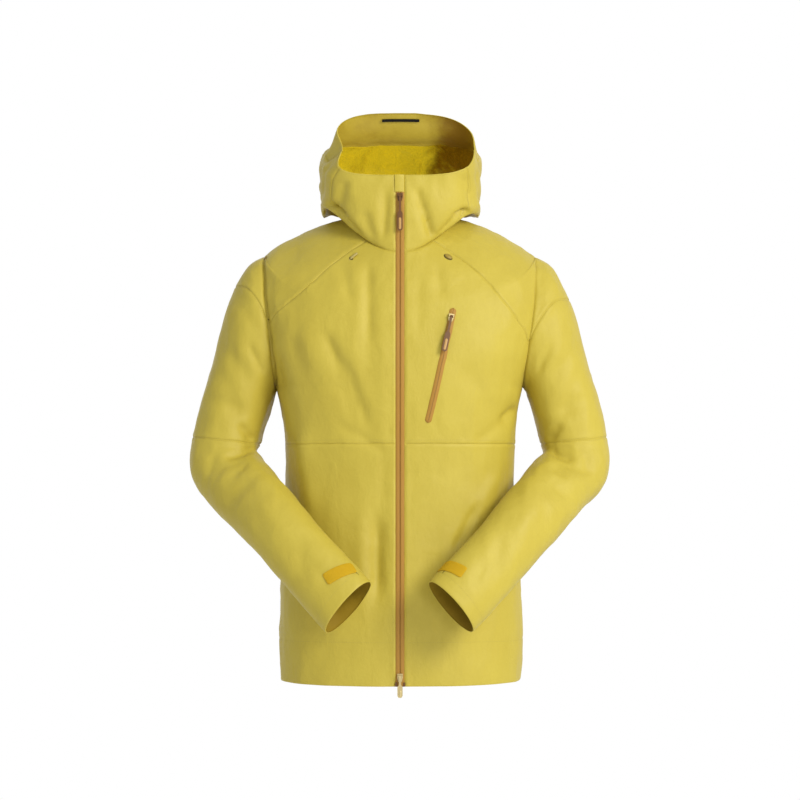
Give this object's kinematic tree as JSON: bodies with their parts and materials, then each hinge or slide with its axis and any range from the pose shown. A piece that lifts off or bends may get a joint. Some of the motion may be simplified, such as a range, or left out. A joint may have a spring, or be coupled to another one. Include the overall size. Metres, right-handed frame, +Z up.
{
  "type": "hooded shell jacket",
  "caption": "Hooded waterproof shell jacket filled out as worn, zipped to the collar, with the forearms bent across the front.",
  "frame": {"origin": "at the neck, level with the high points of the shoulders, where the wearer holds the jacket up", "axes": "+Z up towards the hood, -Y out of the front, +X towards the wearer's left"},
  "size_m": [0.6902, 0.3747, 0.9493],
  "materials": {
    "shell cloth": "smooth laminated weave with a soft sheen",
    "gold strap": "matt woven tape",
    "zip tape": "coated water-resistant zip tape",
    "dark pull": "moulded, satin",
    "bronze metal": "satin lacquered metal",
    "black tape": "matt tape"
  },
  "bodies": {
    "garment": {"front_lower_left": "shell cloth", "front_lower_right": "shell cloth", "front_upper_left": "shell cloth", "front_upper_right": "shell cloth", "yoke_left": "shell cloth", "yoke_right": "shell cloth", "back": "shell cloth", "sleeve_cap_left": "shell cloth", "sleeve_cap_right": "shell cloth", "upper_sleeve_left": "shell cloth", "upper_sleeve_right": "shell cloth", "lower_sleeve_left": "shell cloth", "lower_sleeve_right": "shell cloth", "collar_left": "shell cloth", "collar_right": "shell cloth", "hood_side_left": "shell cloth", "hood_side_right": "shell cloth", "hood_centre": "shell cloth", "hood_brim": "shell cloth", "zip_garage": "shell cloth", "cuff_strap_left": "gold strap", "cuff_strap_right": "gold strap", "zip_tape_left": "zip tape", "zip_tape_right": "zip tape", "pocket_zip": "zip tape", "top_slider": "dark pull", "pocket_slider": "dark pull", "cord_eyelet_left": "dark pull", "cord_eyelet_right": "dark pull", "hem_slider": "bronze metal", "brim_strip": "black tape"},
    "top_pull": {"top_pull": "dark pull"},
    "hem_pull": {"hem_pull": "bronze metal"},
    "pocket_pull": {"pocket_pull": "dark pull"}
  },
  "joints": [
    {"name": "top_pull_swing", "type": "hinge", "parent": "garment", "child": "top_pull", "pos_m": [0, -0.10533, 0.0245], "axis": [-1, 0, 0], "range_deg": [0, 150]},
    {"name": "hem_pull_swing", "type": "hinge", "parent": "garment", "child": "hem_pull", "pos_m": [0, -0.13671, -0.7485], "axis": [-1, 0, 0], "range_deg": [0, 150]},
    {"name": "pocket_pull_swing", "type": "hinge", "parent": "garment", "child": "pocket_pull", "pos_m": [0.08265, -0.13301, -0.17172], "axis": [-0.9722, -0.0668, 0.2244], "range_deg": [0, 150]}
  ]
}
